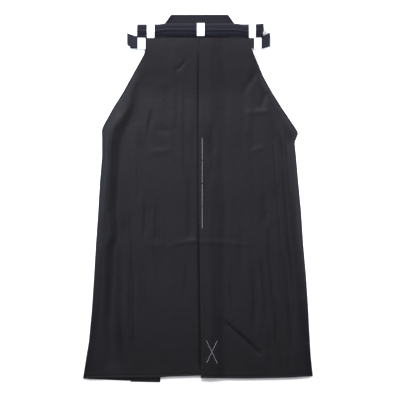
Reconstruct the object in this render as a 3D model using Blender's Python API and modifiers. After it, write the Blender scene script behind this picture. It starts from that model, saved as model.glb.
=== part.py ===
"""Men's hakama, laid flat on its front with the back up and its ties folded. Metres, +Z up.

+X is right and +Y runs towards the waist, both as seen from above. The floor is z = 0.
From the floor up: pleated fronts, gussets, left back, right back, back board, back ties.
Tables hold millimetres, and every table has named columns.
"""

import math

import bmesh
import bpy
import numpy as np

MM = 0.001

# Thickness of each cloth or paper, and the air between two pieces, in mm
CLOTH = 1.0
FRONT_TIE = 1.2
BACK_TIE = 1.8
PAPER = 0.4
AIR = 0.3

# Widths of the ties and of the paper bands, in mm
FRONT_TIE_WIDTH = 32.0
BACK_TIE_WIDTH = 27.5
BAND_WIDTH = 20.0

# Heights of the backs' middle surface over the floor, in mm
EDGE_HEIGHT = 1.8
HEM_HEIGHT = 6.05
BODY_HEIGHT = 8.5
WAIST_HEIGHT = 20.5

# How far in the backs roll down at their sides, and the distance between rows, in mm
SIDE_ROLL = 24.0
ROW_STEP = 26.0


def table(columns, *rows):
    return np.array(list(rows), dtype=[(name, float) for name in columns.split()])


# Outline of the backs: distance from the part's middle, then both side edges
OUTLINE = table(
    "y left right",
    (430.0, -132.0, 129.0),
    (400.0, -140.0, 143.5),
    (386.0, -144.0, 150.0),
    (328.0, -176.0, 174.0),
    (285.0, -200.0, 198.0),
    (242.0, -227.0, 225.0),
    (199.0, -251.0, 254.0),
    (186.0, -257.0, 262.5),
    (175.0, -257.0, 269.0),
    (150.0, -256.5, 258.5),
    (114.0, -256.5, 262.5),
    (49.0, -262.0, 268.0),
    (-36.0, -267.0, 276.0),
    (-122.0, -273.0, 281.5),
    (-208.0, -278.0, 289.0),
    (-293.0, -283.5, 294.5),
    (-379.0, -291.5, 299.0),
    (-430.0, -300.0, 302.0),
    (-478.0, -307.5, 307.5),
)

# Line of the centre fold, where the right back lies over the left, and the depth of that pleat
CENTRE_FOLD = table("y x", (430.0, 4.8), (370.0, 3.0), (20.0, 1.8), (-110.0, 4.0), (-478.0, 8.0))
CENTRE_PLEAT = 34.0
BACK_LAYER = CLOTH + 0.45

# Hem of each back, from its left end to its right end
LEFT_HEM = table(
    "x y",
    (-307.5, -482.0),
    (-227.0, -479.8),
    (-107.0, -479.3),
    (-75.0, -476.6),
    (5.0, -474.2),
    (50.0, -474.0),
)
RIGHT_HEM = table("x y", (8.0, -480.6), (129.0, -481.7), (246.0, -479.5), (307.5, -475.2))

# The long soft trough that runs down beside each side edge
LEFT_TROUGH = table(
    "y x depth",
    (246.0, -168.0, 0.0),
    (226.0, -187.0, 2.0),
    (199.0, -206.0, 3.0),
    (170.0, -216.5, 3.3),
    (63.0, -224.5, 3.5),
    (-111.0, -235.0, 3.1),
    (-245.0, -240.5, 2.7),
    (-379.0, -251.0, 1.8),
    (-478.0, -266.0, 0.4),
)
RIGHT_TROUGH = table(
    "y x depth",
    (200.0, 216.0, 0.0),
    (150.0, 222.0, 2.3),
    (9.0, 224.0, 2.5),
    (-40.0, 238.0, 2.3),
    (-205.0, 252.0, 2.3),
    (-310.0, 256.0, 0.0),
)
TROUGH_WIDTH = 13.0
CREST_SHARE = 0.45

# Shorter creases: both ends, half width and depth
CREASES = table(
    "x0 y0 x1 y1 half depth",
    (-140.0, -120.0, 150.0, -124.0, 16.0, 1.0),
    (153.0, 352.0, 115.0, 290.0, 13.0, 1.4),
    (72.0, -325.0, 164.0, -406.0, 14.0, 1.8),
    (108.0, 233.0, 186.0, 238.0, 9.0, 0.9),
    (-139.0, 230.0, -137.0, 156.0, 11.0, 0.8),
    (-184.0, 20.0, -177.0, -380.0, 15.0, 1.0),
    (180.0, -180.0, 168.0, -300.0, 13.0, 1.0),
    (193.0, -330.0, 213.0, -410.0, 12.0, 0.9),
)

# Knife pleats of the two fronts: fold and depth at the waist, then at the hem
PLEAT = "waist waist_depth hem hem_depth"
LEFT_PLEATS = table(PLEAT, (-62.0, 22.0, -181.7, 60.0), (-34.0, 22.0, -101.4, 60.0))
RIGHT_PLEATS = table(PLEAT, (66.0, 22.0, 150.0, 60.0), (38.0, 22.0, 70.0, 55.0))
CENTRE_PLEAT_FRONT = table(PLEAT, (6.0, 18.0, -12.0, 50.0))[0]
FRONT_LAYER = CLOTH + 0.35
FRONT_LIFT = dict(start=372.0, end=396.0)

# Lower ends of the fronts: the layers of the left one that show below the back, and the rest
FRONT_SIDE_AT_HEM = dict(left=-294.0, right=305.0)
LEFT_FRONT_HEM = dict(side=-483.3, first_fold=-488.1, second=-490.5, second_fold=-492.1)
FRONT_HEM = -473.0

# The waistband: both ends, lower and upper edge, and the heights of its two layers
WAISTBAND = dict(left=-136.0, right=133.0, low=401.1, high=432.7, face=0.5, inside=5.8)

# The gussets, mirrored: inner edge, then the top and the hem, each with its outer edge
GUSSET = dict(inner=4.0, top=-30.0, top_outer=64.0, hem=-468.0, hem_outer=126.0, height=4.5)

# The stiff board: its bottom and top edges, both ends of each, and the height of its underside
BOARD_EDGES = table("y left right z", (430.9, -115.0, 123.0, 20.7), (491.6, -72.0, 81.0, 0.4))
BOARD = 3.4

# Front ties: ends of the bundle, its middle line, and where and how far its ends turn up
FRONT_BUNDLE = dict(left=-189.0, right=191.5, centre=417.2, bend_left=-162.0, bend_right=172.0)
FRONT_BUNDLE_LIFT = 9.0
FRONT_TIE_FLOOR = 1.6
FRONT_TIE_LOWEST = 7.2
FRONT_TIE_STEP = FRONT_TIE + 0.45
FRONT_RUN_SHIFTS = (0.0, -0.5, 0.4, -0.3, 0.5, -0.4, 0.3, 0.0)

# Runs of the back ties, from the board up: edge nearest the board's top, and tilt in degrees
BACK_RUNS = table(
    "y z tilt",
    (459.2, 16.6, 18.3),
    (459.6, 18.9, 19.8),
    (460.4, 21.2, 22.0),
    (463.6, 23.0, 32.0),
    (466.4, 24.6, 43.0),
)
BACK_BUNDLE = dict(left=-162.0, right=176.0, root=84.0)

# Paper bands: middle of each along the waist
UPPER_BANDS = dict(upper_left=-126.2, centre=7.6, upper_right=145.4)
LOWER_BANDS = dict(lower_left=-150.7, lower_right=160.2)

COLOURS = dict(
    cloth=(0.030, 0.029, 0.034, 1.0),
    board=(0.035, 0.035, 0.045, 1.0),
    tie=(0.036, 0.036, 0.043, 1.0),
    paper=(0.90, 0.90, 0.89, 1.0),
)
ROUGHNESS = dict(cloth=0.8, board=0.75, tie=0.75, paper=0.6)


def smooth(t):
    t = np.clip(t, 0.0, 1.0)
    return t * t * (3.0 - 2.0 * t)


def along(rows, column, y):
    """A table's column read at y, where the table runs from the waist down."""
    return np.interp(y, rows["y"][::-1], rows[column][::-1])


def trough(rows, x, y, outward):
    """A soft trough along a line, with a low crest on its outer side."""
    across = (x - along(rows, "x", y)) * outward
    within = (y <= rows["y"][0]) & (y >= rows["y"][-1])
    dip = np.exp(-((across / TROUGH_WIDTH) ** 2))
    crest = np.exp(-(((across - 1.5 * TROUGH_WIDTH) / TROUGH_WIDTH) ** 2))
    return along(rows, "depth", y) * within * (CREST_SHARE * crest - dip)


def crease(row, x, y):
    """A straight soft crease that fades out past both of its ends."""
    run = np.array((row["x1"] - row["x0"], row["y1"] - row["y0"]))
    length = math.hypot(*run)
    run = run / length
    ahead = (x - row["x0"]) * run[0] + (y - row["y0"]) * run[1]
    aside = (y - row["y0"]) * run[0] - (x - row["x0"]) * run[1]
    past = np.maximum(np.maximum(-ahead, ahead - length), 0.0)
    return -row["depth"] * np.exp(-((aside**2 + past**2) / row["half"] ** 2))


def back_height(x, y):
    """Height of the lowest back layer: high over the ties, low at the hem, rolled at the sides."""
    body = HEM_HEIGHT + (BODY_HEIGHT - HEM_HEIGHT) * smooth((y + 470.0) / 130.0)
    height = body + (WAIST_HEIGHT - body) * smooth((y - 335.0) / 64.0)
    folds = trough(LEFT_TROUGH, x, y, -1.0) + trough(RIGHT_TROUGH, x, y, 1.0)
    for row in CREASES:
        folds = folds + crease(row, x, y)
    height = height + folds * smooth((395.0 - y) / 60.0) * smooth((y + 478.0) / 50.0)
    inside = np.minimum(x - along(OUTLINE, "left", y), along(OUTLINE, "right", y) - x)
    rolled = (1.0 - np.clip(inside / SIDE_ROLL, 0.0, 1.0)) ** 2
    edge = EDGE_HEIGHT + (height - EDGE_HEIGHT) * smooth((y - 350.0) / 49.0)
    return height + (edge - height) * rolled


def spread(values, step):
    """The values in order, with more between them so that none lie further apart than step."""
    filled = [values[0]]
    for start, end in zip(values[:-1], values[1:]):
        count = max(1, math.ceil(abs(end - start) / step))
        filled.extend(np.linspace(start, end, count + 1)[1:])
    return np.array(filled)


def quads(rows, columns, ring_rows=False, ring_columns=False):
    """Corners of the quads between rows of points, where a ring joins its last to its first."""
    faces = []
    for row in range(rows if ring_rows else rows - 1):
        for column in range(columns if ring_columns else columns - 1):
            below = (row + 1) % rows * columns
            beside = (column + 1) % columns
            here = row * columns
            faces.append((here + column, below + column, below + beside, here + beside))
    return faces


def add_mesh(name, points, faces, finish):
    """A new piece from points in mm, with its own material."""
    shape = bmesh.new()
    corners = [shape.verts.new(point) for point in np.asarray(points) * MM]
    for face in faces:
        shape.faces.new([corners[index] for index in face])
    bmesh.ops.recalc_face_normals(shape, faces=shape.faces)
    mesh = bpy.data.meshes.new(name)
    shape.to_mesh(mesh)
    shape.free()
    material = bpy.data.materials.new(name)
    material.use_nodes = True
    shader = material.node_tree.nodes["Principled BSDF"]
    shader.inputs["Base Color"].default_value = COLOURS[finish]
    shader.inputs["Roughness"].default_value = ROUGHNESS[finish]
    mesh.materials.append(material)
    piece = bpy.data.objects.new(name, mesh)
    garment.objects.link(piece)
    return piece


def add_sheet(name, grid, thickness, finish, ring=False):
    """One sheet as a closed wall round its middle surface, given as rows of points."""
    grid = np.array(grid)
    rows, columns = grid.shape[:2]
    piece = add_mesh(name, grid.reshape(-1, 3), quads(rows, columns, ring_rows=ring), finish)
    wall = piece.modifiers.new("Wall", "SOLIDIFY")
    wall.thickness = thickness * MM
    wall.offset = 0.0
    wall.use_even_offset = True


def folded_loop(line, ys, thickness):
    """A folded line of x and z, offset to both sides as one closed loop of points."""
    steps = np.diff(line, axis=0)
    steps = steps / np.linalg.norm(steps, axis=1, keepdims=True)
    normals = np.stack([-steps[:, 1], steps[:, 0]], axis=1)
    before = np.vstack([normals[:1], normals])
    after = np.vstack([normals, normals[-1:]])
    mitre = (before + after) / (1.0 + np.sum(before * after, axis=1, keepdims=True))
    loop = np.vstack([line + mitre * thickness / 2.0, (line - mitre * thickness / 2.0)[::-1]])
    return np.column_stack([loop[:, 0], np.concatenate([ys, ys[::-1]]), loop[:, 1]])


def add_pleated(name, loops, finish):
    """A pleated sheet as a closed wall through its folded loops, closed at top and hem."""
    rows = len(loops)
    columns = len(loops[0])
    faces = quads(rows, columns, ring_columns=True)
    for first in (0, (rows - 1) * columns):
        last = first + columns - 1
        for step in range(columns // 2 - 1):
            faces.append((first + step, first + step + 1, last - step - 1, last - step))
    add_mesh(name, np.concatenate(loops), faces, finish)


def back_columns(edge, centre):
    """Columns from a side edge to the centre, close together over the roll and the trough."""
    steps = np.array((0.0, 4.0, 9.0, 16.0, 24.0, 33.0, 42.0, 52.0))
    side = edge + steps * np.sign(centre - edge)
    return np.concatenate([side, np.linspace(side[-1], centre, 10)[1:]])


def back_y(x, y, hem):
    """Moves a row of points so that the last row lies on the hem's own line."""
    top = OUTLINE["y"][0]
    bottom = OUTLINE["y"][-1]
    return top + (np.interp(x, hem["x"], hem["y"]) - top) * (y - top) / (bottom - top)


def make_left_back():
    """The left back, from its side edge to the seam hidden under the right back's fold."""
    grid = []
    for y in spread(OUTLINE["y"], ROW_STEP):
        fold = along(CENTRE_FOLD, "x", y)
        x = back_columns(along(OUTLINE, "left", y), fold)
        x = np.append(x, fold + CENTRE_PLEAT * np.array((0.5, 1.0)))
        grid.append(np.stack([x, back_y(x, y, LEFT_HEM), back_height(x, y)], axis=1))
    add_sheet("back_panel_left", grid, CLOTH, "cloth")


def make_right_back():
    """The right back, whose centre edge folds under and runs back to the seam."""
    grid = []
    for y in spread(OUTLINE["y"], ROW_STEP):
        fold = along(CENTRE_FOLD, "x", y)
        top = back_columns(along(OUTLINE, "right", y), fold)
        under = fold + CENTRE_PLEAT * np.array((0.0, 0.45, 0.9))
        lifted = 2.0 * BACK_LAYER * smooth((fold + 2.0 * CENTRE_PLEAT - top) / (0.9 * CENTRE_PLEAT))
        x = np.concatenate([top, under])
        z = back_height(x, y) + np.concatenate([lifted, np.full(len(under), BACK_LAYER)])
        grid.append(np.stack([x, back_y(x, y, RIGHT_HEM), z], axis=1))
    add_sheet("back_panel_right", grid, CLOTH, "cloth")


def pleat_fold(row, share):
    """Fold line and depth of a pleat, at a share of the way from the waist to the hem."""
    fold = row["waist"] + (row["hem"] - row["waist"]) * share
    return fold, row["waist_depth"] + (row["hem_depth"] - row["waist_depth"]) * share


def front_line(side, pleats, inwards, share, end):
    """One section of a front as x and layer, from its side edge, over its pleats, to an end."""
    line = [(side, 0), ((side + pleat_fold(pleats[0], share)[0]) / 2.0, 0)]
    for row in pleats:
        fold, depth = pleat_fold(row, share)
        back = fold - depth * inwards
        beyond = fold + FRONT_LAYER * inwards
        line += [(fold, 0), (fold, 1), (back, 1), (back, 2), (beyond, 2), (beyond, 0)]
    return np.array(line + end)


def make_front(name, edge, inwards, pleats, hem):
    """A pleated front, face down, with its folds towards the centre."""
    top = WAISTBAND["high"] - CLOTH / 2.0 - AIR
    below_band = WAISTBAND["low"] - AIR
    rows = [top, below_band, FRONT_LIFT["end"], FRONT_LIFT["start"], *OUTLINE["y"][3:]]
    loops = []
    for y in rows:
        share = (top - y) / (top - rows[-1])
        side = along(OUTLINE, edge, y) + AIR * inwards
        side += (FRONT_SIDE_AT_HEM[edge] - side) * smooth((-400.0 - y) / 78.0)
        if y >= below_band:
            side = WAISTBAND[edge] + 1.5 * inwards
        fold, depth = pleat_fold(CENTRE_PLEAT_FRONT, share)
        if edge == "left":
            end = [(fold - FRONT_LAYER, 0), (fold - FRONT_LAYER, 2), (fold + depth, 2)]
        else:
            end = [(fold, 0), (fold, 1), (fold + depth, 1)]
        line = front_line(side, pleats, inwards, share, end)
        lift = WAISTBAND["face"] + CLOTH / 2.0 + AIR
        lift *= smooth((y - FRONT_LIFT["start"]) / (FRONT_LIFT["end"] - FRONT_LIFT["start"]))
        line[:, 1] = CLOTH / 2.0 + line[:, 1] * FRONT_LAYER + lift
        ys = np.full(len(line), y)
        if y == rows[-1]:
            ys = np.array(hem + [FRONT_HEM] * (len(line) - len(hem)))
        loops.append(folded_loop(line, ys, CLOTH))
    add_pleated(name, loops, "cloth")


def make_fronts():
    """Five pleats in all: two on the left front, two and the centre one on the right front."""
    low = LEFT_FRONT_HEM
    first = [low["side"], (low["side"] + low["first_fold"]) / 2.0, low["first_fold"]]
    second = [low["second"], low["second_fold"]]
    left_hem = first + [FRONT_HEM] * 4 + second
    make_front("front_panel_left", "left", 1.0, LEFT_PLEATS, left_hem)
    make_front("front_panel_right", "right", -1.0, RIGHT_PLEATS, [])


def make_gussets():
    """The inner leg pieces, flat between front and back on each side of the centre."""
    ends = ((GUSSET["top"], GUSSET["top_outer"]), (GUSSET["hem"], GUSSET["hem_outer"]))
    for name, sign in (("gusset_left", -1.0), ("gusset_right", 1.0)):
        grid = [[(sign * x, y, GUSSET["height"]) for x in (GUSSET["inner"], outer)] for y, outer in ends]
        add_sheet(name, grid, CLOTH, "cloth")


def make_waistband():
    """The strip folded over the tops of the fronts."""
    path = (
        (WAISTBAND["low"], WAISTBAND["face"]),
        (WAISTBAND["high"], WAISTBAND["face"]),
        (WAISTBAND["high"], WAISTBAND["inside"]),
        (WAISTBAND["low"], WAISTBAND["inside"]),
    )
    grid = [[(x, y, z) for x in (WAISTBAND["left"], WAISTBAND["right"])] for y, z in path]
    add_sheet("front_waistband", grid, CLOTH, "tie")


def make_board():
    """The stiff board at the back waist, narrower at its top, sloping down to the floor."""
    bottom, top = BOARD_EDGES
    slope = math.atan2(bottom["z"] - top["z"], top["y"] - bottom["y"])
    middle = BOARD / 2.0 / math.cos(slope)
    grid = [[(edge[end], edge["y"], edge["z"] + middle) for end in ("left", "right")] for edge in BOARD_EDGES]
    add_sheet("back_board", grid, BOARD, "board")


def front_tie_y(x):
    """The middle line of the front ties, whose ends turn up towards the waist."""
    ends = [FRONT_BUNDLE[name] for name in ("left", "bend_left", "bend_right", "right")]
    return FRONT_BUNDLE["centre"] + FRONT_BUNDLE_LIFT * np.interp(x, ends, (1.0, 0.0, 0.0, 1.0))


def tie_stations(start, end):
    """Stations of one run of a front tie, with its bends where it leaves its paper bands."""
    bends = [FRONT_BUNDLE["bend_left"], FRONT_BUNDLE["bend_right"]]
    inner = sorted(x for x in bends if min(start, end) < x < max(start, end))
    return [start, *(inner if end > start else inner[::-1]), end]


def make_front_tie(name, root, first_level, ends):
    """A front tie: from the waistband out along the floor, then in folded runs on top of it."""
    half = FRONT_TIE_WIDTH / 2.0
    path = [(x, FRONT_TIE_FLOOR, 0.0) for x in tie_stations(root, ends[0])]
    for run, (start, end) in enumerate(zip(ends[:-1], ends[1:])):
        level = first_level + run
        height = FRONT_TIE_LOWEST + level * FRONT_TIE_STEP
        path += [(x, height, FRONT_RUN_SHIFTS[level]) for x in tie_stations(start, end)]
    grid = []
    for x, height, shift in path:
        y = front_tie_y(x) + shift
        grid.append([(x, y - half, height), (x, y + half, height)])
    add_sheet(name, grid, FRONT_TIE, "tie")


def make_front_ties():
    left = FRONT_BUNDLE["left"]
    right = FRONT_BUNDLE["right"]
    inner = right - 2.0 * FRONT_TIE - 1.0
    make_front_tie("front_tie_left", WAISTBAND["left"] - AIR, 0, (left, inner, left, inner, left))
    make_front_tie("front_tie_right", WAISTBAND["right"] + AIR, 4, (right, left, right, left, right))


def back_run(level, x):
    """Both edges of a back tie at x, on one of its runs."""
    row = BACK_RUNS[level]
    tilt = math.radians(row["tilt"])
    far_y = row["y"] - BACK_TIE_WIDTH * math.cos(tilt)
    far_z = row["z"] + BACK_TIE_WIDTH * math.sin(tilt)
    return [(x, far_y, far_z), (x, row["y"], row["z"])]


def make_back_ties():
    """The two back ties: a root on the board, then two long runs each, fanned out at the back."""
    left = BACK_BUNDLE["left"]
    right = BACK_BUNDLE["right"]
    root = BACK_BUNDLE["root"]
    inner = right - 2.0 * BACK_TIE - 1.0
    left_path = ((0, -root), (0, left), (1, left), (1, inner), (2, inner), (2, left))
    right_path = ((0, root), (0, right), (3, right), (3, left), (4, left), (4, right))
    for name, path in (("back_tie_left", left_path), ("back_tie_right", right_path)):
        add_sheet(name, [back_run(level, x) for level, x in path], BACK_TIE, "tie")


def turn(a, b, c):
    return (b[0] - a[0]) * (c[1] - a[1]) - (b[1] - a[1]) * (c[0] - a[0])


def outward(a, b):
    length = math.dist(a, b)
    return (b[1] - a[1]) / length, (a[0] - b[0]) / length


def hull(points):
    """The convex outline round points in a plane, anticlockwise."""
    outline = []
    points = sorted(points)
    for ordered in (points, points[::-1]):
        part = []
        for point in ordered:
            while len(part) > 1 and turn(part[-2], part[-1], point) <= 1e-6:
                part.pop()
            part.append(point)
        outline += part[:-1]
    return outline


def add_band(name, middle, corners):
    """A paper strip pulled tight round a bundle, whose corners are given across the waist."""
    outline = hull(corners)
    clear = AIR + PAPER / 2.0
    grid = []
    for before, here, after in zip(outline[-1:] + outline[:-1], outline, outline[1:] + outline[:1]):
        first = outward(before, here)
        second = outward(here, after)
        share = clear / (1.0 + first[0] * second[0] + first[1] * second[1])
        y = here[0] + share * (first[0] + second[0])
        z = here[1] + share * (first[1] + second[1])
        grid.append([(middle - BAND_WIDTH / 2.0, y, z), (middle + BAND_WIDTH / 2.0, y, z)])
    add_sheet("paper_band_" + name, grid, PAPER, "paper", ring=True)


def make_bands():
    """Three bands round the back ties and two round the front ties."""
    for name, middle in UPPER_BANDS.items():
        corners = []
        for level in range(1 if name == "centre" else 0, len(BACK_RUNS)):
            tilt = math.radians(BACK_RUNS[level]["tilt"])
            for _, y, z in back_run(level, 0.0):
                for side in (-BACK_TIE / 2.0, BACK_TIE / 2.0):
                    corners.append((y + side * math.sin(tilt), z + side * math.cos(tilt)))
        add_band(name, middle, corners)
    half = FRONT_TIE_WIDTH / 2.0 + max(FRONT_RUN_SHIFTS)
    low = FRONT_TIE_FLOOR - FRONT_TIE / 2.0
    highest = FRONT_TIE_LOWEST + (len(FRONT_RUN_SHIFTS) - 1) * FRONT_TIE_STEP + FRONT_TIE / 2.0
    edges = (FRONT_BUNDLE["centre"] - half, FRONT_BUNDLE["centre"] + half)
    for name, middle in LOWER_BANDS.items():
        add_band(name, middle, [(y, z) for y in edges for z in (low, highest)])


for leftover in list(bpy.data.objects):
    bpy.data.objects.remove(leftover)
garment = bpy.data.collections.new("Hakama")
bpy.context.scene.collection.children.link(garment)

make_fronts()
make_gussets()
make_waistband()
make_front_ties()
make_left_back()
make_right_back()
make_board()
make_back_ties()
make_bands()
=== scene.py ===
"""Men's hakama, laid flat on its front with the back up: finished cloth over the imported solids.

+X is right, +Y runs towards the waist and +Z is up. Shapes are worked out in millimetres, and
add_cloth puts them into meshes in metres. The sections follow the garment from the table up.
"""

import math

import bpy
import numpy as np
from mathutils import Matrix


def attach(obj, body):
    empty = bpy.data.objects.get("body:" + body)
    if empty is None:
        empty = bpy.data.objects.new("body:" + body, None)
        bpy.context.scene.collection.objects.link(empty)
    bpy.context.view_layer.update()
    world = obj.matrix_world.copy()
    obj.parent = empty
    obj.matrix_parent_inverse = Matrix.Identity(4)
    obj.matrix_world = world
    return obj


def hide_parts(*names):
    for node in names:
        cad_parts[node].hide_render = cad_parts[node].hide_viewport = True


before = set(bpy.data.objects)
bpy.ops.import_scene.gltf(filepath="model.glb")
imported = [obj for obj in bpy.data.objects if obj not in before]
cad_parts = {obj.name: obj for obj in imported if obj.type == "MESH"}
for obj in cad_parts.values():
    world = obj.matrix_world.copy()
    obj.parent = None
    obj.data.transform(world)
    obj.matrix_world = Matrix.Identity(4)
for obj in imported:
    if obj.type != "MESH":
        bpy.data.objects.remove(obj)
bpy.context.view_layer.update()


# The white table that the hakama lies on, seen from straight above through a long lens.
# A strong soft lamp hangs beyond the waist and a weak one over the hem, and a cool soft strip
# stands low at each side. Sizes are in metres here.
VIEW_WIDTH = 1.0704
VIEW_CENTRE = (0.0056, -0.0043)
CAMERA_HEIGHT = 20.0
CLOTH_HEIGHT = 0.008
FILM_WIDTH = 36.0
TABLE_HALF = 15.0

camera = bpy.data.objects.new("camera", bpy.data.cameras.new("camera"))
camera.location = (*VIEW_CENTRE, CAMERA_HEIGHT)
camera.data.sensor_width = FILM_WIDTH
camera.data.lens = FILM_WIDTH * (CAMERA_HEIGHT - CLOTH_HEIGHT) / VIEW_WIDTH
camera.data.clip_start = CAMERA_HEIGHT / 2
camera.data.clip_end = CAMERA_HEIGHT * 3
bpy.context.scene.collection.objects.link(camera)
bpy.context.scene.camera = camera
bpy.context.scene.view_settings.view_transform = "Standard"

table_mesh = bpy.data.meshes.new("table_top")
table_corners = [(x * TABLE_HALF, y * TABLE_HALF, 0) for x, y in ((-1, -1), (1, -1), (1, 1), (-1, 1))]
table_mesh.from_pydata(table_corners, [], [(0, 1, 2, 3)])
table_top = bpy.data.objects.new("table_top", table_mesh)
bpy.context.scene.collection.objects.link(table_top)
table_white = bpy.data.materials.new("table_white")
table_white.use_nodes = True
table_look = table_white.node_tree.nodes["Principled BSDF"].inputs
table_look["Base Color"].default_value = (0.86, 0.86, 0.86, 1)
table_look["Roughness"].default_value = 0.9
table_mesh.materials.append(table_white)

# Place, aim, size, power and colour of each lamp
LAMPS = {
    "overhead_waist": ((-0.3, 1.0, 1.5), (0, 0.3, 0), (0.5, 0.6), 44.0, (1, 0.965, 1.03)),
    "overhead_hem": ((-0.1, -0.2, 1.7), (0, -0.2, 0), (0.55, 0.8), 5.8, (1, 0.965, 1.03)),
    "left_strip": ((-0.7, 0.3, 0.42), (-0.22, 0.1, 0), (0.9, 0.2), 7.9, (0.72, 0.84, 1)),
    "right_strip": ((0.62, 0.22, 0.37), (0.22, 0.1, 0), (0.9, 0.2), 5.6, (0.82, 0.89, 1)),
}
for name, (place, aim, size, power, colour) in LAMPS.items():
    light = bpy.data.lights.new(name, "AREA")
    light.shape = "RECTANGLE"
    light.size, light.size_y = size
    light.energy = power
    light.color = colour
    holder = bpy.data.objects.new(name, light)
    holder.location = place
    x, y, z = np.array(aim) - np.array(place)
    holder.rotation_euler = (math.atan2(math.hypot(x, y), -z), 0.0, math.atan2(y, x) - math.pi / 2)
    bpy.context.scene.collection.objects.link(holder)

sky = bpy.data.worlds.new("room")
sky.use_nodes = True
sky.node_tree.nodes["Background"].inputs["Color"].default_value = (0.96, 0.98, 1.0, 1)
sky.node_tree.nodes["Background"].inputs["Strength"].default_value = 0.4
bpy.context.scene.world = sky


# The two fronts, face down on the table: black twill with five knife pleats in all, pressed sharp
# and basted. The left front has two pleats, and the right front has two and the centre one.
CLOTH = 1.0
SEAM_GAP = 0.3
MM = 0.001
PLEAT_COLUMNS = "waist waist_depth hem hem_depth"


def table(columns, *rows):
    """Rows of numbers with named columns."""
    return np.array(list(rows), dtype=[(name, float) for name in columns.split()])


# Outline of the garment: place along it from its middle, then both side edges
OUTLINE = table(
    "y left right",
    (430, -132, 129), (400, -140, 143.5), (386, -144, 150), (328, -176, 174),
    (285, -200, 198), (242, -227, 225), (199, -251, 254), (186, -257, 262.5),
    (175, -257, 269), (150, -256.5, 258.5), (114, -256.5, 262.5), (49, -262, 268),
    (-36, -267, 276), (-122, -273, 281.5), (-208, -278, 289), (-293, -283.5, 294.5),
    (-379, -291.5, 299), (-430, -300, 302), (-478, -307.5, 307.5),
)
LEFT_PLEATS = table(PLEAT_COLUMNS, (-62, 22, -181.7, 60), (-34, 22, -101.4, 60))
RIGHT_PLEATS = table(PLEAT_COLUMNS, (66, 22, 150, 60), (38, 22, 70, 55))
CENTRE_PLEAT = table(PLEAT_COLUMNS, (6, 18, -12, 50))[0]
FRONT_TOP = 431.9
BELOW_WAISTBAND = 400.8
HEM_START = -430.0
LOWEST_ROW = -478.0
FRONT_LAYER = 1.35
FRONT_LIFT = 1.3
FRONT_HEM = -473.0
LEFT_FRONT_HEM = [-483.3, -485.7, -488.1, *[FRONT_HEM] * 4, -490.5, -492.1, *[FRONT_HEM] * 8]
FRONT_EDGES = {
    "left": dict(inwards=1, at_waistband=-134.5, at_hem=-294),
    "right": dict(inwards=-1, at_waistband=131.5, at_hem=305),
}


def smooth(t):
    """0 below 0, 1 above 1, and 3 t squared minus 2 t cubed between them."""
    t = np.clip(t, 0.0, 1.0)
    return t * t * (3.0 - 2.0 * t)


def between(y, start, end):
    """0 before start, 1 past end, and smooth between them."""
    return smooth((y - start) / (end - start))


def crowded(count):
    """Places from -1 to 1 that crowd together at both ends: the sine of an even half turn."""
    return np.sin(np.linspace(-math.pi / 2, math.pi / 2, count))


def read(rows, column, y, window=5.0):
    """A table's column at y, as the mean over a short window, so that its corners come out round."""
    shifts = np.linspace(-window, window, 5)
    return np.mean([np.interp(y + s, rows["y"][::-1], rows[column][::-1]) for s in shifts], axis=0)


def rounded_line(corners, cut, spans, turns):
    """Lines through rows of corners, with each corner cut short and rounded.

    A corner C between the points A and B, which lie cut away from it or half a side if that is
    less, becomes (1-t)^2 A + 2t(1-t) C + t^2 B. Each straight part gets spans points.
    """
    steps = np.diff(corners, axis=1)
    lengths = np.linalg.norm(steps, axis=-1, keepdims=True)
    short = steps / np.maximum(lengths, 1e-9) * np.minimum(cut, lengths * 0.499)
    middle = corners[:, 1:-1]
    before = middle - short[:, :-1]
    after = middle + short[:, 1:]
    t = np.linspace(0.0, 1.0, turns)[:, None]
    before_t, middle_t, after_t = (p[:, :, None] for p in (before, middle, after))
    bends = (1 - t) ** 2 * before_t + 2 * t * (1 - t) * middle_t + t**2 * after_t
    starts = np.concatenate([corners[:, :1], after], axis=1)[:, :, None]
    ends = np.concatenate([before, corners[:, -1:]], axis=1)[:, :, None]
    s = (np.arange(spans)[:, None] + 1.0) / (spans + 1.0)
    straights = starts + (ends - starts) * s
    joined = np.concatenate([straights[:, :-1], bends], axis=2).reshape(len(corners), -1, corners.shape[-1])
    return np.concatenate([corners[:, :1], joined, straights[:, -1], corners[:, -1:]], axis=1)


def both_faces(middle, half):
    """The two faces of a sheet: its middle surface, moved half its thickness along the normal.

    The normal is the cross product of the surface's two directions, made one long.
    """
    down = np.gradient(middle, axis=0)
    across = np.gradient(middle, axis=1)
    normal = np.cross(across, down)
    normal /= np.maximum(np.linalg.norm(normal, axis=-1, keepdims=True), 1e-9)
    half = np.broadcast_to(half, middle.shape[:2])[..., None]
    return middle + normal * half, middle - normal * half


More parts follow.
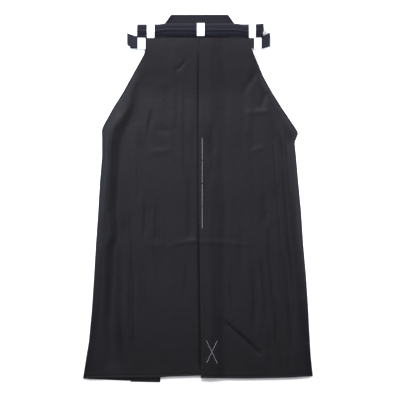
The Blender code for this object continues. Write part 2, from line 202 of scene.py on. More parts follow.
def add_cloth(name, upper, lower, material):
    """One closed piece from the grids of its two faces in mm, joined round all four edges.

    Its UV map measures the cloth itself, in metres across and down from its first corner.
    """
    rows, columns = upper.shape[:2]
    points = np.concatenate([upper, lower[:, ::-1]], axis=1)
    index = np.arange(points.shape[0] * points.shape[1]).reshape(points.shape[:2])
    beside = np.roll(index, -1, axis=1)
    walls = np.stack([index[:-1], index[1:], beside[1:], beside[:-1]], axis=-1).reshape(-1, 4)
    near, far = index[:, :columns], index[:, :columns - 1:-1]
    first = np.stack([near[0, :-1], near[0, 1:], far[0, 1:], far[0, :-1]], axis=-1)
    last = np.stack([near[-1, :-1], far[-1, :-1], far[-1, 1:], near[-1, 1:]], axis=-1)
    faces = np.concatenate([walls, first, last])
    corners = points.reshape(-1, 3) * MM
    a, b, c, d = (corners[faces[:, k]] for k in range(4))
    if np.sum(a * (np.cross(b, c) + np.cross(c, d))) < 0:
        faces = faces[:, ::-1]
    mesh = bpy.data.meshes.new(name)
    mesh.from_pydata(corners.tolist(), [], faces.tolist())
    middle = (upper + lower) / 2.0
    across = np.linalg.norm(np.diff(middle, axis=1, prepend=middle[:, :1]), axis=-1).cumsum(axis=1)
    down = np.linalg.norm(np.diff(middle, axis=0, prepend=middle[:1]), axis=-1).mean(axis=1).cumsum()
    place = np.stack([across, np.broadcast_to(-down[:, None], across.shape)], axis=-1)
    place = np.concatenate([place, place[:, ::-1]], axis=1).reshape(-1, 2) * MM
    places = place[faces.reshape(-1)].astype(np.float32).ravel()
    mesh.uv_layers.new(name="cloth").data.foreach_set("uv", places)
    mesh.shade_smooth()
    mesh.set_sharp_from_angle(angle=math.radians(62.0))
    mesh.materials.append(material)
    piece = bpy.data.objects.new(name, mesh)
    bpy.context.scene.collection.objects.link(piece)
    return piece


def add_node(tree, kind, values=(), **settings):
    """A shader node with its settings, and values for its inputs by name or number."""
    node = tree.nodes.new("ShaderNode" + kind)
    for setting, value in settings.items():
        setattr(node, setting, value)
    for socket, value in dict(values).items():
        if isinstance(value, bpy.types.NodeSocket):
            tree.links.new(value, node.inputs[socket])
        else:
            node.inputs[socket].default_value = value
    return node


def add_math(tree, operation, *values):
    """The result of one arithmetic node."""
    return add_node(tree, "Math", dict(enumerate(values)), operation=operation).outputs[0]


def new_group(name, sockets):
    """A node group with its sockets' ways and kinds by name, and its inputs and results."""
    tree = bpy.data.node_groups.new(name, "ShaderNodeTree")
    for socket, (way, kind) in sockets.items():
        tree.interface.new_socket(socket, in_out=way, socket_type="NodeSocket" + kind)
    return tree, tree.nodes.new("NodeGroupInput").outputs, tree.nodes.new("NodeGroupOutput").inputs


def make_twill_group():
    """The thread relief of a fine twill, shared by every woven piece.

    Warp and weft are sine ridges along both directions of the cloth. A diagonal sine picks which
    of the two lies on top, and a noise drawn out along the warp makes the threads uneven.
    """
    tree, given, result = new_group("twill threads", {
        "Place": ("INPUT", "Vector"), "Threads per metre": ("INPUT", "Float"),
        "Relief": ("OUTPUT", "Float"), "Slub": ("OUTPUT", "Float"),
    })
    place = given["Place"]
    turns = add_math(tree, "MULTIPLY", given["Threads per metre"], 2.0 * math.pi)
    angle = add_node(tree, "VectorMath", {0: place, "Scale": turns}, operation="SCALE")
    x, y, _ = add_node(tree, "SeparateXYZ", {0: angle.outputs["Vector"]}).outputs
    warp = add_math(tree, "SINE", x)
    weft = add_math(tree, "SINE", y)
    slant = add_math(tree, "MULTIPLY", add_math(tree, "ADD", x, y), 1.0 / 3.0)
    on_top = add_math(tree, "MULTIPLY_ADD", add_math(tree, "SINE", slant), 0.5, 0.5)
    threads = add_node(tree, "Mix", {0: on_top, 2: weft, 3: warp}, data_type="FLOAT")
    raised = add_math(tree, "MULTIPLY_ADD", on_top, 0.8, threads.outputs[0])
    drawn = add_node(tree, "Mapping", {"Vector": place, "Scale": (900.0, 60.0, 1.0)})
    uneven = add_node(tree, "TexNoise", {"Vector": drawn.outputs[0], "Scale": 1.0, "Detail": 2.0})
    tree.links.new(raised, result["Relief"])
    tree.links.new(uneven.outputs["Fac"], result["Slub"])
    return tree


def make_handling_group():
    """Slow uneven marks of pressing and handling, from two noises of about 60 and 14 mm."""
    sockets = {"Place": ("INPUT", "Vector"), "Marks": ("OUTPUT", "Float")}
    tree, given, result = new_group("handling marks", sockets)
    broad = add_node(tree, "TexNoise", {"Vector": given["Place"], "Scale": 16.0, "Detail": 1.5})
    fine = add_node(tree, "TexNoise", {"Vector": given["Place"], "Scale": 70.0, "Detail": 2.0})
    broad_share = add_math(tree, "MULTIPLY", broad.outputs["Fac"], 0.6)
    marks = add_math(tree, "MULTIPLY_ADD", fine.outputs["Fac"], 0.4, broad_share)
    tree.links.new(marks, result["Marks"])
    return tree


THREADS_PER_METRE = 1700.0
THREAD_RELIEF = 0.000016
MARK_RELIEF = 0.002
ROUGHNESS_SPREAD = 0.16
twill_group = make_twill_group()
handling_group = make_handling_group()


def new_material(name):
    """A material, its node tree, its main shader, and the place on the piece's own cloth."""
    material = bpy.data.materials.new(name)
    material.use_nodes = True
    tree = material.node_tree
    place = add_node(tree, "UVMap", uv_map="cloth").outputs["UV"]
    return material, tree, tree.nodes["Principled BSDF"], place


def mix_colours(tree, shader, share, first, second):
    """Feeds the shader's colour with a mix of two colours by a share."""
    values = {0: share, 6: (*first, 1), 7: (*second, 1)}
    colours = add_node(tree, "Mix", values, data_type="RGBA")
    tree.links.new(colours.outputs[2], shader.inputs["Base Color"])


def make_cloth_material(name, dark, light, roughness, gloss):
    """A black twill: two close tones mixed by its slubs and handling marks, fine thread relief,
    broad soft relief where it was handled, and a soft gloss."""
    material, tree, shader, place = new_material(name)
    woven = {"Place": place, "Threads per metre": THREADS_PER_METRE}
    twill = add_node(tree, "Group", woven, node_tree=twill_group)
    marks = add_node(tree, "Group", {"Place": place}, node_tree=handling_group).outputs["Marks"]
    mark_share = add_math(tree, "MULTIPLY", marks, 0.55)
    tone = add_math(tree, "MULTIPLY_ADD", twill.outputs["Slub"], 0.45, mark_share)
    stretched = add_node(tree, "MapRange", {"Value": tone, "From Min": 0.36, "From Max": 0.64})
    mix_colours(tree, shader, stretched.outputs[0], dark, light)
    rough = add_math(tree, "MULTIPLY_ADD", marks, ROUGHNESS_SPREAD, roughness - ROUGHNESS_SPREAD / 2)
    tree.links.new(rough, shader.inputs["Roughness"])
    relief = {"Height": twill.outputs["Relief"], "Distance": THREAD_RELIEF, "Strength": 0.5}
    weave = add_node(tree, "Bump", relief).outputs[0]
    relief = {"Height": marks, "Distance": MARK_RELIEF, "Strength": 0.5, "Normal": weave}
    tree.links.new(add_node(tree, "Bump", relief).outputs[0], shader.inputs["Normal"])
    shader.inputs["Specular IOR Level"].default_value = gloss
    shader.inputs["Sheen Weight"].default_value = 0.015
    shader.inputs["Sheen Roughness"].default_value = 0.45
    shader.inputs["Sheen Tint"].default_value = (0.8, 0.86, 1.0, 1)
    return material


body_twill = make_cloth_material(
    "body_twill", dark=(0.0037, 0.0032, 0.0041), light=(0.0055, 0.0048, 0.0062), roughness=0.46, gloss=0.11
)


def pleat_at(row, share):
    """Fold line and depth of a pleat, at a share of the way from the waist to the hem."""
    fold = row["waist"] + (row["hem"] - row["waist"]) * share
    return fold, row["waist_depth"] + (row["hem_depth"] - row["waist_depth"]) * share


def front_rows():
    """Heights of the rows: close together at the waistband and the hem, 13 mm apart between."""
    return np.concatenate([
        [FRONT_TOP, 424.0, 416.0, 408.0, BELOW_WAISTBAND], np.arange(396.0, 371.0, -4.0),
        np.arange(360.0, -425.0, -13.0), np.linspace(HEM_START, LOWEST_ROW, 9),
    ])


def front_middle(edge, pleats, end, hem):
    """Middle surface of a front: its section is a line of straight layers joined by tight folds.

    The section runs from the side edge over each pleat, layer 0 lying on the table, and every
    pleat folds over to layer 1, back under itself to layer 2, and down again past its fold. The
    top is lifted a little, and the rows from HEM_START down spread out to the hem's own line.
    """
    y = front_rows()
    share = (FRONT_TOP - y) / (FRONT_TOP - LOWEST_ROW)
    inwards = FRONT_EDGES[edge]["inwards"]
    side = read(OUTLINE, edge, y) + SEAM_GAP * inwards
    side = side + (FRONT_EDGES[edge]["at_hem"] - side) * between(y, -400.0, LOWEST_ROW)
    side = np.where(y >= BELOW_WAISTBAND, FRONT_EDGES[edge]["at_waistband"], side)
    corners = [(side, 0), ((side + pleat_at(pleats[0], share)[0]) / 2.0, 0)]
    for row in pleats:
        fold, depth = pleat_at(row, share)
        back = fold - depth * inwards
        beyond = fold + FRONT_LAYER * inwards
        corners += [(fold, 0), (fold, 1), (back, 1), (back, 2), (beyond, 2), (beyond, 0)]
    corners += end(share)
    x = np.stack([corner[0] for corner in corners], axis=1)
    layer = np.array([corner[1] for corner in corners])
    lift = FRONT_LIFT * between(y, 372.0, 396.0)
    z = CLOTH / 2.0 + layer * FRONT_LAYER + lift[:, None]
    hem = np.array(hem)[: len(corners)]
    low = np.clip((HEM_START - y) / (HEM_START - LOWEST_ROW), 0.0, 1.0)[:, None]
    y = np.where(low > 0.0, HEM_START + (hem - HEM_START) * low, y[:, None])
    return rounded_line(np.stack([x, y, z], axis=-1), cut=0.67, spans=4, turns=6)


def over_the_centre(share):
    """The left front ends flat, over the inside of the centre pleat."""
    fold, depth = pleat_at(CENTRE_PLEAT, share)
    return [(fold - FRONT_LAYER, 0), (fold - FRONT_LAYER, 2), (fold + depth, 2)]


def centre_pleat(share):
    """The right front folds under at the centre and runs back."""
    fold, depth = pleat_at(CENTRE_PLEAT, share)
    return [(fold, 0), (fold, 1), (fold + depth, 1)]


left_middle = front_middle("left", LEFT_PLEATS, over_the_centre, LEFT_FRONT_HEM)
right_middle = front_middle("right", RIGHT_PLEATS, centre_pleat, [FRONT_HEM] * 20)
left_front = add_cloth("left_front_cloth", *both_faces(left_middle, CLOTH / 2), body_twill)
right_front = add_cloth("right_front_cloth", *both_faces(right_middle, CLOTH / 2), body_twill)
for piece, node, flat, area in (
    (left_front, "front_panel_left", (0.60, 0.925), 0.42),
    (right_front, "front_panel_right", (0.60, 0.910), 0.42),
):
    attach(piece, "root")
    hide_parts(node)


# The two gussets: long wedges of the same twill let in between front and back on the inside of
# the legs, which they close. They lie flat between the layers, so nothing of them shows.
GUSSET = dict(inner=4.0, top=-30.0, top_outer=64.0, hem=-468.0, hem_outer=126.0, height=4.5)


def gusset_middle(sign):
    """A flat wedge: across it runs from the inner edge to an outer edge that moves out evenly."""
    down, across = np.meshgrid(np.linspace(0, 1, 50), np.linspace(0, 1, 12), indexing="ij")
    outer = GUSSET["top_outer"] + (GUSSET["hem_outer"] - GUSSET["top_outer"]) * down
    x = sign * (GUSSET["inner"] + (outer - GUSSET["inner"]) * across)
    y = GUSSET["top"] + (GUSSET["hem"] - GUSSET["top"]) * down
    return np.stack([x, y, np.full_like(x, GUSSET["height"])], axis=-1)


for side, sign in (("left", -1.0), ("right", 1.0)):
    gusset = add_cloth(f"{side}_gusset_cloth", *both_faces(gusset_middle(sign), CLOTH / 2), body_twill)
    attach(gusset, "root")
    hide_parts(f"gusset_{side}")


# The front waistband: a strip of the tie cloth folded lengthwise over the tops of the pleated
# fronts and slip-stitched down inside. The front ties grow out of its two ends.
WAISTBAND = dict(left=-136.0, right=133.0, low=401.1, high=432.7, face=0.5, inside=5.8)
FRONT_TIE = 1.2

# The ties' cloth is the body's black twill in lighter, bluer tones: painted sheen for the light that catches
# the puffed ties.
tie_twill_painted_sheen = make_cloth_material(
    "tie_twill_painted_sheen", dark=(0.0056, 0.0054, 0.0090), light=(0.0082, 0.0078, 0.0130), roughness=0.48, gloss=0.09
)


def waistband_middle():
    """A U-shaped section of two layers and a rounded fold, carried straight across the waist."""
    section = np.array([[
        (0.0, WAISTBAND["low"], WAISTBAND["face"]), (0.0, WAISTBAND["high"], WAISTBAND["face"]),
        (0.0, WAISTBAND["high"], WAISTBAND["inside"]), (0.0, WAISTBAND["low"], WAISTBAND["inside"]),
    ]])
    section = rounded_line(section, cut=2.4, spans=10, turns=8)
    stations = np.linspace(WAISTBAND["left"], WAISTBAND["right"], 60)
    middle = np.repeat(section, len(stations), axis=0)
    middle[..., 0] = stations[:, None]
    return middle


waistband = add_cloth("waistband_cloth", *both_faces(waistband_middle(), CLOTH / 2), tie_twill_painted_sheen)
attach(waistband, "root")
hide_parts("front_waistband")


# The two front ties: 32 mm wide and about 1.6 m long each, flat tubes of twill. Each leaves an
# end of the waistband and is folded to and fro in a flat bundle that lies across the waist.
TIE_WIDTH = 32.0
TIE_MIDDLE = 417.2
# Where the ends start to bend past the paper bands, and where they are bent in full
TIE_BENDS = (-162.0, 172.0)
TIE_TIPS = (-189.0, 191.5)
TIE_LEVELS = dict(root=1.6, lowest=7.2, step=1.65, least=1.0)
# Ends of the runs, how far they bend towards the waist there, and how far they sink: levels up
# to 3 are the left tie, and those above are the right tie
TIE_ENDS = table(
    "level left right left_lift right_lift sink",
    (-1, -181, 190, 0.5, 10.7, 0), (0, -181, 188.1, 0.5, 10.7, 3.6), (3, -181, 188.1, 0.8, 10.2, 4.6),
    (4, -189, 192.5, 9, 5.6, 2.2), (7, -189, 192.5, 9.4, 5, 2.2),
)
# How far each run lies off the tie's middle, from the root run up
RUN_SHIFTS = (0, 0, -0.5, 0.4, -0.3, 0.5, -0.4, 0.3, 0)


def tie_height(level):
    """Height of a run over the table; the root run, at level -1, lies on the table."""
    return np.where(level < 0, TIE_LEVELS["root"], TIE_LEVELS["lowest"] + level * TIE_LEVELS["step"])


def front_tie_middle(root, levels, first_end):
    """Middle surface of a front tie: runs at rising levels, joined at their ends by round folds.

    The line holds x, level and height. Past the paper bands it bends towards the waist by the
    level's lift times its share of the way to the tip, to the power 1.4. There it sinks, puckers
    in small sine waves, and on the left turns its upper edge up.
    """
    at = {side: np.interp(levels, TIE_ENDS["level"], TIE_ENDS[side]) for side in ("left", "right")}
    sides = ["left", "right"] if first_end == "left" else ["right", "left"]
    corners = [(root, -1.0, TIE_LEVELS["root"])]
    for place, level in enumerate(levels):
        for side in (sides[(place + 1) % 2], sides[place % 2]) if place else (sides[0],):
            corners.append((at[side][place], level, float(tie_height(level))))
    line = rounded_line(np.array([corners]), cut=2.4, spans=60, turns=9)[0]
    x, level, z = line.T
    lift_left, lift_right, sink = (
        np.interp(level, TIE_ENDS["level"], TIE_ENDS[name]) for name in TIE_ENDS.dtype.names[3:]
    )
    past_left = np.clip((TIE_BENDS[0] - x) / (TIE_BENDS[0] - TIE_TIPS[0]), 0.0, 1.0)
    past_right = np.clip((x - TIE_BENDS[1]) / (TIE_TIPS[1] - TIE_BENDS[1]), 0.0, 1.0)
    past = np.maximum(past_left, past_right)
    y = TIE_MIDDLE + lift_left * past_left**1.4 + lift_right * past_right**1.4
    y = y + np.interp(level, np.arange(-1, 8), RUN_SHIFTS) + 0.25 * np.sin(x / 23.0 + level * 2.1)
    z = np.maximum(z - sink * smooth(past), TIE_LEVELS["least"])
    across = crowded(17)
    grid = np.broadcast_to(across, (len(x), len(across)))
    pucker = 0.16 * smooth(past * 2.0)[:, None] * np.sin(x[:, None] / 1.9 + grid * 2.4 + level[:, None])
    turned_up = (np.clip(level + 1.0, 0.0, 1.0) * smooth(past_left * 1.6))[:, None] * 1.4 * (grid + 1.0)
    points = [x[:, None] + 0 * grid, y[:, None] + grid * (TIE_WIDTH / 2.0), z[:, None] + pucker + turned_up]
    return np.stack(points, axis=-1), grid


def tie_half(across, thickness):
    """Half thickness over the width: full in the middle, and rounded off close to both edges."""
    return thickness / 2.0 * (0.2 + 0.8 * np.sqrt(1.0 - across**10))


for side, root, levels, node in (
    ("left", WAISTBAND["left"] - SEAM_GAP, [-1, 0, 1, 2, 3], "front_tie_left"),
    ("right", WAISTBAND["right"] + SEAM_GAP, [-1, 4, 5, 6, 7], "front_tie_right"),
):
    middle, across = front_tie_middle(root, levels, side)
    front_tie = add_cloth(f"{side}_front_tie", *both_faces(middle, tie_half(across, FRONT_TIE)), tie_twill_painted_sheen)
    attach(front_tie, "root")
    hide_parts(node)


# The two backs, lying on top: the right back's centre edge is folded under and laps the left
# back, and both run down to a narrow turned hem. Their sides roll down to meet the fronts.
HEIGHTS = dict(edge=1.8, hem=6.05, body=8.5, waist=20.5, over_ties=3.0)
BACK_TOP = 430.0
SIDE_ROLL = 24.0
BACK_LAYER = 1.45
FOLD_DEPTH = 34.0
FOLD_UNDER = 30.0
# The right back is lifted over the left one beside its fold, down a slope that ends at LAP_END
LAP_END = 68.0
LAP_SLOPE = 44.0
HEM_STITCH = dict(y=-472.0, half=1.3, depth=0.55)
CENTRE_FOLD = table("y x", (430, 4.8), (370, 3), (20, 1.8), (-110, 4), (-478, 8))
LEFT_HEM = table("x y", (-307.5, -482), (-227, -479.8), (-107, -479.3), (-75, -476.6), (5, -474.2), (50, -474))
RIGHT_HEM = table("x y", (8, -480.6), (129, -481.7), (246, -479.5), (307.5, -475.2))

# The long soft trough beside each side edge, as a line with a dip on one side and a crest on the
# other. Their places are in widths from the line, and depth, crest and width are in mm.
DIP_AT = 0.71
CREST_AT = -0.93
TROUGH_WINDOW = 9.0
LEFT_TROUGH = table(
    "y x depth crest width",
    (338.2, -152.3, 0, 0, 13), (306.1, -165.6, 1.2, 0.6, 13), (276.7, -169.7, 1.7, 0.9, 13),
    (255.3, -172.3, 2.2, 1.4, 13), (236.6, -178.5, 3, 2, 15), (209.8, -194.1, 4.2, 3.2, 18),
    (183, -209.2, 5, 3.8, 19), (156.3, -216.4, 5.2, 4, 19), (129.5, -219.9, 5.3, 4, 19),
    (76, -222.6, 5.3, 3.8, 18), (22.5, -225.3, 5.3, 3.4, 18), (-36.4, -228.7, 5.2, 2.8, 17),
    (-73.9, -223, 5, 2.4, 16), (-100.6, -224, 4.9, 2.2, 16), (-130.1, -235.3, 5.2, 2, 17),
    (-164.8, -236.9, 5.5, 1.9, 17.5), (-218.4, -238.2, 5.7, 1.8, 18), (-271.9, -241.8, 5.4, 1.6, 18.5),
    (-325.4, -244.6, 4.5, 1.2, 18.5), (-378.9, -241.9, 3.6, 0.7, 20), (-432.4, -240.6, 2.6, 0.5, 20),
    (-480.6, -237.9, 0.5, 0, 20),
)
RIGHT_TROUGH = table(
    "y x depth crest width",
    (215.2, 211.7, 0, 0, 10.5), (188.4, 215.7, 1.8, 1.2, 10.5), (156.3, 219.7, 3.6, 2.4, 10.5),
    (124.2, 222.7, 3.9, 2.6, 10.5), (89.4, 223.4, 3.7, 2.4, 10.5), (22.5, 227.4, 3.3, 2.1, 10.5),
    (-57.8, 235, 3.3, 2, 9.8), (-106, 237.4, 3.4, 1.9, 9.8), (-143.4, 243, 3.1, 1.7, 9.8),
    (-205, 249.2, 2.6, 1.4, 9.8), (-271.9, 253.2, 2, 1, 9.8), (-352.2, 259, 1.8, 0.8, 9.1),
    (-392.3, 261.9, 0.9, 0.4, 9.1), (-413.7, 264.2, 0, 0, 9.1),
)

# Creases as lines of points: half width, then x, y and depth, where a depth below 0 is a ridge
CREASES = (
    # Left back, vertical
    (8, (-159, 188.4, 0), (-159, 142.9, 1.5), (-157.6, 76, 1.5), (-156.3, 17.1, 1.1), (-163, -17.7, 0)),
    (5, (-122.8, 241.9, 0), (-125.5, 220.5, 1.7), (-130.9, 188.4, 1.6), (-133.5, 150.9, 0)),
    (6.5, (-141.6, 17.1, 0), (-140.2, -31, 1.5), (-141.6, -84.6, 1.5), (-146.9, -122, 0)),
    (6, (-109.4, 1.1, 0), (-109.4, -44.4, 1.3), (-110.8, -97.9, 1.3), (-112.1, -119.3, 0)),
    (10, (-15.8, 89.4, 0), (-18.5, 35.9, 1.3), (-18.5, -44.4, 1.8), (-18.5, -95.3, 1.6), (-18.5, -114, 0)),
    (4.5, (-189.7, 22.5, 0), (-187.1, -84.6, 1), (-183, -151.5, 1.8), (-180.4, -231.7, 2),
     (-180.4, -312, 1.7), (-177.7, -378.9, 1.9), (-177.7, -469.9, 0.4)),
    (10, (-205.8, -89.9, 0), (-207.1, -218.4, -1.4), (-205.8, -352.2, -1.5), (-203.1, -448.5, 0)),
    (7, (-149.6, -132.7, 0), (-149.6, -186.2, 1.3), (-146.9, -271.9, 1.2), (-144.2, -325.4, 0)),
    (6, (-117.5, -127.4, 0), (-114.8, -148.8, 1.3), (-106.8, -180.9, 1.1), (-106.8, -239.8, 0)),
    (8, (-29.2, -138.1, 0), (-26.5, -178.2, 1), (-34.5, -245.1, 1), (-37.2, -293.3, 0)),
    (5, (-42.5, 332.9, 0), (-45.2, 263.3, -0.8), (-45.2, 183, -0.9), (-45.2, 102.8, -0.8),
     (-39.9, 43.9, 0)),
    # Left back, across
    (5, (-23.8, 407.8, 0), (-26.5, 386.4, 1.5), (-34.5, 365, 1.8), (-47.9, 349, 1.6), (-66.6, 338.2, 0)),
    (11, (-114.8, 306.1, 0), (-88, 306.1, -0.9), (-64, 303.5, 0)),
    (9, (-128.2, 183, 0), (-106.8, 183, 0.7), (-80, 180.4, 0.7), (-58.6, 177.7, 0)),
    (9, (-138.9, 124.2, 0), (-109.4, 125.5, -0.8), (-88, 126.8, -0.7), (-66.6, 129.5, 0)),
    (7, (-146.9, -124.7, 0), (-122.8, -122, -0.5), (-101.4, -123.4, -0.4), (-74.7, -126, -0.3),
     (-47.9, -120.7, -0.8), (-21.1, -118, -1.1), (2.9, -116.7, -1), (37.7, -114, -0.9),
     (64.5, -116.7, -1), (112.7, -120.7, -0.7), (155.5, -124.7, 0)),
    # Right back, vertical
    (12, (40.4, 215.2, 0), (37.7, 177.7, 1.4), (37.7, 129.5, 1.5), (37.7, 97.4, 0.7), (32.4, 62.6, 1.1),
     (32.4, 17.1, 0)),
    (11, (182.2, 27.8, 0), (179.6, -9.6, 1.5), (182.2, -41.7, 1.6), (182.2, -73.9, 0)),
    (5.5, (191.6, -68.5, 0), (192.9, -111.3, 2.1), (194.3, -154.1, 2.5), (197, -205, 1.5),
     (201, -258.5, 1.7), (209, -304, 2.4), (211.7, -338.8, 2.5), (210.3, -378.9, 1.7),
     (219.7, -405.7, 0.9), (235.8, -448.5, 0)),
    (4.5, (171.5, -148.8, 0), (172.9, -186.2, 1.8), (176.9, -231.7, 1.9), (184.9, -285.3, 1.5),
     (190.3, -336.1, 0)),
    (8, (152.8, -164.8, 0), (155.5, -218.4, 1.5), (155.5, -285.3, 1.6), (155.5, -357.5, 0)),
    (6, (88.6, -197, 0), (88.6, -239.8, 1), (93.9, -271.9, 0.9), (93.9, -304, 0)),
    # Right back, across
    (7.5, (118, 228.5, 0), (139.4, 231.2, -0.9), (160.8, 232.5, -1.2), (179.6, 232.5, -1),
     (198.3, 236.6, 0)),
    (9, (171.5, 365, 0), (158.2, 340.9, 1.9), (139.4, 311.5, 2.1), (124.7, 287.4, 0.8), (118, 271.3, 0)),
    (9, (192.9, 308.8, 0), (182.2, 284.7, 1.3), (171.5, 255.3, 1.2), (166.2, 231.2, 0)),
    (7, (128.7, 121.5, 0), (150.1, 129.5, -0.8), (171.5, 136.2, -0.8), (184.9, 137.5, 0)),
    (6, (166.2, 54.6, 0), (182.2, 41.2, -0.8), (195.6, 25.2, -0.8), (201, 3.7, 0)),
    (6.5, (56.5, -314.7, 0), (80.5, -337.4, 1.8), (112.7, -365.5, 2.6), (139.4, -389.6, 2.5),
     (158.2, -408.4, 1.6), (168.9, -419.1, 0)),
    (5, (267.9, -119.3, 0), (275.9, -132.7, -1), (283.9, -151.5, 0)),
)


def trough(rows, inwards, stretch, x, y):
    """A bell-shaped dip on one side of the table's line, with its inner side stretched, and a
    bell-shaped crest on the other side, so that the line is the steep slope between them."""
    line, depth, crest, width = (read(rows, name, y, TROUGH_WINDOW) for name in rows.dtype.names[1:])
    across = inwards * (x - line) / width
    from_dip = across - DIP_AT
    from_dip = np.where(from_dip > 0.0, from_dip / stretch, from_dip)
    return np.exp(-((across - CREST_AT) ** 2)) * crest - np.exp(-(from_dip**2)) * depth


def crease(half, points, x, y):
    """A bell-shaped dip by the distance to the nearest place on a line, as deep as it is there."""
    nearest = np.full(np.shape(x), 1e9)
    depth = np.zeros(np.shape(x))
    for (x0, y0, depth0), (x1, y1, depth1) in zip(points, points[1:]):
        length = math.hypot(x1 - x0, y1 - y0)
        share = np.clip(((x - x0) * (x1 - x0) + (y - y0) * (y1 - y0)) / length**2, 0.0, 1.0)
        away = (x - x0 - share * (x1 - x0)) ** 2 + (y - y0 - share * (y1 - y0)) ** 2
        depth = np.where(away < nearest, depth0 + (depth1 - depth0) * share, depth)
        nearest = np.minimum(away, nearest)
    return -depth * np.exp(-nearest / half**2)


def back_height(x, y):
    """Height of the lowest back layer: high over the ties, low at the hem, rolled at the sides.

    Creases, troughs, slow sine waves and finer sine streaks along the warp are added, faded out
    at the waist and the hem.
    """
    body = HEIGHTS["hem"] + (HEIGHTS["body"] - HEIGHTS["hem"]) * between(y, -470.0, -340.0)
    height = body + (HEIGHTS["waist"] - body) * between(y, 262.0, 414.0)
    height = height + HEIGHTS["over_ties"] * between(y, 372.0, 468.0)
    folds = trough(LEFT_TROUGH, 1.0, 1.5, x, y) + trough(RIGHT_TROUGH, -1.0, 0.9, x, y)
    for half, *points in CREASES:
        folds = folds + crease(half, points, x, y)
    folds = folds + 0.3 * np.sin(x / 17.0 + y / 61.0) + 0.2 * np.sin(y / 26.0 + 0.6 * np.sin(x / 55.0))
    streaks = np.sin(x / 6.5 + np.sin(y / 58.0)) + 0.7 * np.sin(x / 4.1 - np.sin(y / 43.0 + 1.7))
    folds = folds + 0.2 * streaks * (0.6 + 0.4 * np.sin(y / 71.0 + x / 29.0))
    height = height + folds * between(y, 395.0, 335.0) * between(y, LOWEST_ROW, -428.0)
    inside = np.minimum(x - read(OUTLINE, "left", y), read(OUTLINE, "right", y) - x)
    rolled = (1.0 - np.clip(inside / SIDE_ROLL, 0.0, 1.0)) ** 2
    edge = HEIGHTS["edge"] + (height - HEIGHTS["edge"]) * between(y, 270.0, 399.0)
    return height + (edge - height) * rolled


def hem_line(y):
    """The sewn line of the narrow turned hem: a fine bell-shaped groove just above the edge."""
    return -HEM_STITCH["depth"] * np.exp(-(((y - HEM_STITCH["y"]) / HEM_STITCH["half"]) ** 2))


def back_rows():
    """Heights of the rows: 3.2 mm apart, and 1.2 mm at the hem."""
    return np.concatenate([np.linspace(BACK_TOP, -460.0, 279), np.linspace(-461.0, LOWEST_ROW, 15)])


def back_y(x, y, hem):
    """Moves rows of points evenly, so that the last row lies on the hem's own line."""
    hem_y = np.interp(x, hem["x"], hem["y"])
    return BACK_TOP + (hem_y - BACK_TOP) * (y - BACK_TOP) / (LOWEST_ROW - BACK_TOP)


def across_back(edge, fold):
    """Columns from a side edge to the fold: 35 close ones 1.7 mm apart, then 78 wider ones."""
    inward = np.sign(fold - edge)[:, None]
    near = edge[:, None] + inward * np.linspace(0.0, 58.0, 35)
    rest = np.linspace(0.0, 1.0, 79)[1:]
    return np.concatenate([near, near[:, -1:] + (fold[:, None] - near[:, -1:]) * rest], axis=1)


def fold_radius(y):
    """Half the height of the centre fold: pressed flat at the waist, and more open at the hem."""
    return BACK_LAYER / 2.0 + 0.85 * between(y, 180.0, -380.0)


def lapped_lift(x, y, fold):
    """How far the right back is lifted over the left one beside its fold."""
    return (BACK_LAYER + 2.0 * fold_radius(y)) * smooth((fold + LAP_END - x) / LAP_SLOPE)


def left_back_middle():
    """The left back: its height function, out to the seam that is hidden under the right back.

    A bell-shaped dip beside the right back's fold lets the fold stand clear of it.
    """
    y = back_rows()
    fold = read(CENTRE_FOLD, "x", y)
    x = across_back(read(OUTLINE, "left", y), fold)
    x = np.concatenate([x, fold[:, None] + np.linspace(0.0, FOLD_DEPTH, 11)[1:]], axis=1)
    y = np.broadcast_to(y[:, None], x.shape)
    deep = (1.7 + 0.5 * between(y, 60.0, -140.0)) * between(y, 395.0, 355.0) * between(y, -474.0, -444.0)
    dip = deep * np.exp(-(((x - fold[:, None] - 2.0) / 6.0) ** 2))
    return np.stack([x, back_y(x, y, LEFT_HEM), back_height(x, y) + hem_line(y) - dip], axis=-1)


def right_back_middle():
    """The right back: the height function, lifted over the left back, then a half circle down at
    the fold, and a flat layer that runs back under it to the seam."""
    y = back_rows()
    fold = read(CENTRE_FOLD, "x", y)
    radius = fold_radius(y)[:, None]
    top = across_back(read(OUTLINE, "right", y), fold + radius[:, 0])
    bend = np.linspace(0.0, math.pi, 8)[None, 1:]
    turned = fold[:, None] + radius * (1.0 - np.sin(bend))
    under = fold[:, None] + radius + np.linspace(0.0, FOLD_UNDER, 10)[None, 1:]
    x = np.concatenate([top, turned, under], axis=1)
    lift = np.concatenate([
        lapped_lift(top, y[:, None], fold[:, None]),
        BACK_LAYER + radius * (1.0 + np.cos(bend)),
        BACK_LAYER + 0.0 * under,
    ], axis=1)
    y = np.broadcast_to(y[:, None], x.shape)
    return np.stack([x, back_y(x, y, RIGHT_HEM), back_height(x, y) + hem_line(y) + lift], axis=-1)


left_back = add_cloth("left_back_cloth", *both_faces(left_back_middle(), CLOTH / 2), body_twill)
right_back = add_cloth("right_back_cloth", *both_faces(right_back_middle(), CLOTH / 2), body_twill)
for piece, side, flat in ((left_back, "left", (0.352, 0.913)), (right_back, "right", (0.340, 0.913))):
    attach(piece, "root")
    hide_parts(f"back_panel_{side}")


# The back board: stiff card wrapped in the tie cloth, sewn to the top of the backs at the
# centre. A piped edge runs down each slanted side, marked by two sewn grooves.
BOARD = dict(bottom=430.9, bottom_left=-115.0, bottom_right=123.0, top=491.6, top_left=-72.0, top_right=81.0)
BOARD_UNDERSIDE = dict(bottom=20.7, top=0.4)
BOARD_THICKNESS = 3.4
# Sewn grooves beside the slanted sides: distance in from the side, half width and depth
BOARD_GROOVES = table("inside half depth", (5.4, 1.4, 1.5), (10.6, 1.2, 1.1))

